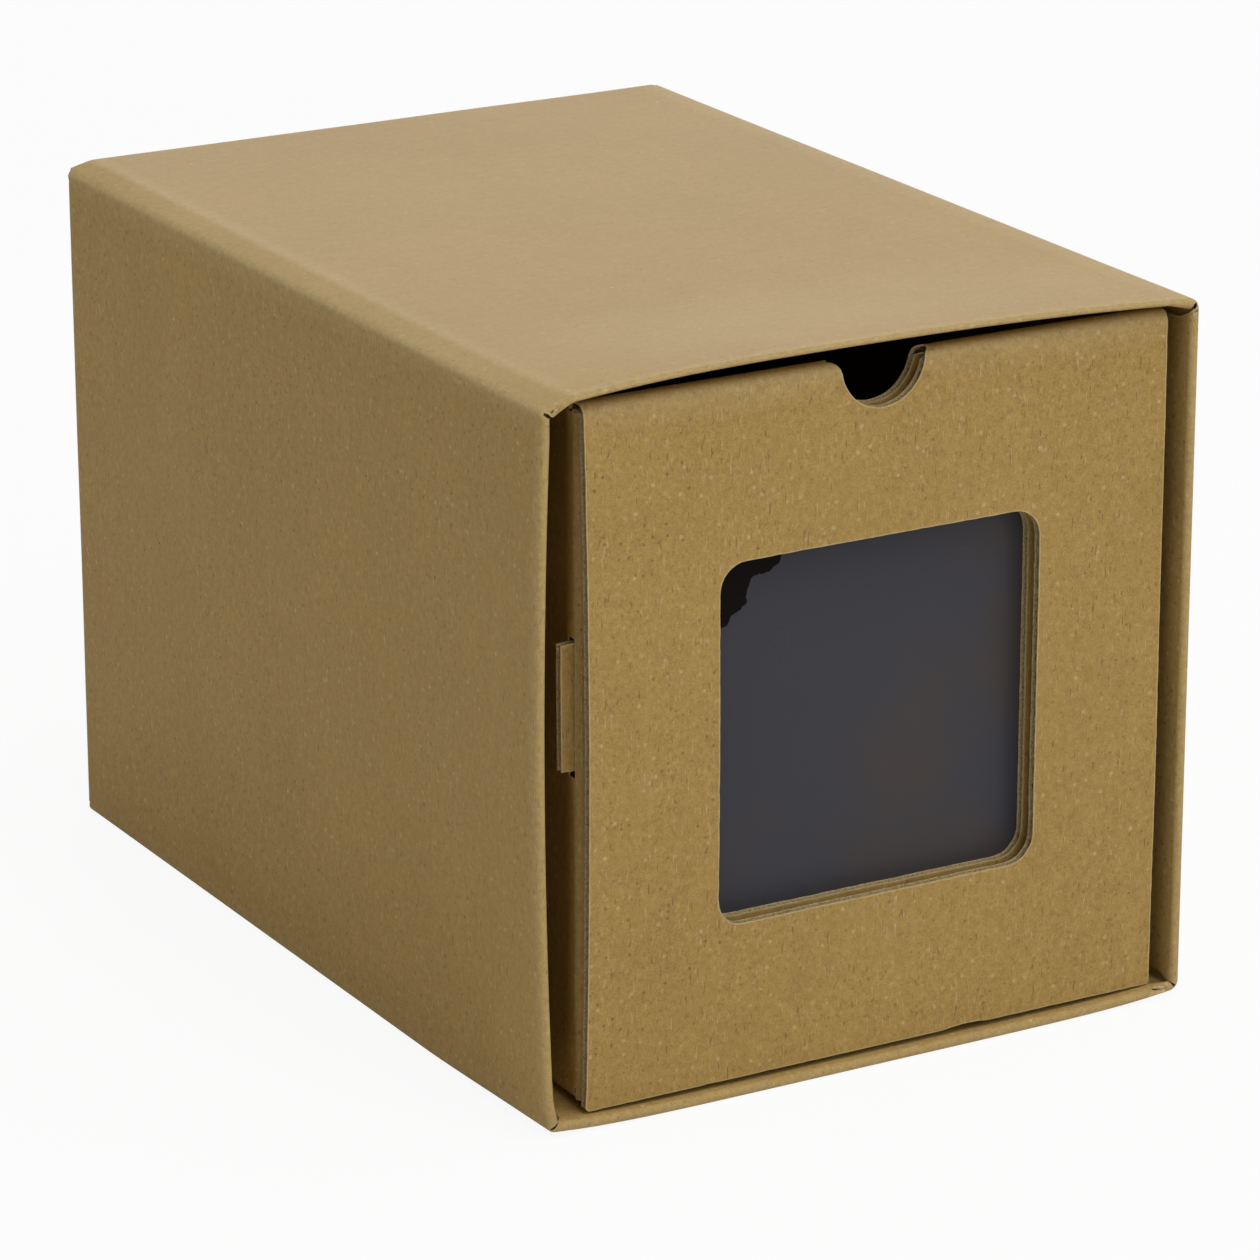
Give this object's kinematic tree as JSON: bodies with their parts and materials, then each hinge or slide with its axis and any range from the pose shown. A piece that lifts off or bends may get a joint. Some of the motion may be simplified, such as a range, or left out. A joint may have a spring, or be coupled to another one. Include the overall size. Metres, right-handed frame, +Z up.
{
  "type": "storage box with window",
  "caption": "Corrugated board storage box: a sleeve open at the front with a sliding drawer that has a thumb notch and a window covered with clear film.",
  "frame": {"origin": "on the floor, under the middle of the sleeve's straight body", "axes": "+Z up, -Y towards the drawer's front, +X to the right as seen from the front"},
  "size_m": [0.2075, 0.295, 0.2085],
  "materials": {
    "kraft_board": "uncoated brown kraft liner, matte, with flecks and fibres",
    "clear_film": "clear glossy film"
  },
  "bodies": {
    "sleeve": {"sleeve": "kraft_board"},
    "drawer": {"drawer": "kraft_board", "window_film": "clear_film"}
  },
  "joints": [
    {"name": "drawer_slide", "type": "slide", "parent": "sleeve", "child": "drawer", "axis": [0, -1, 0], "range_m": [0, 0.3]}
  ]
}
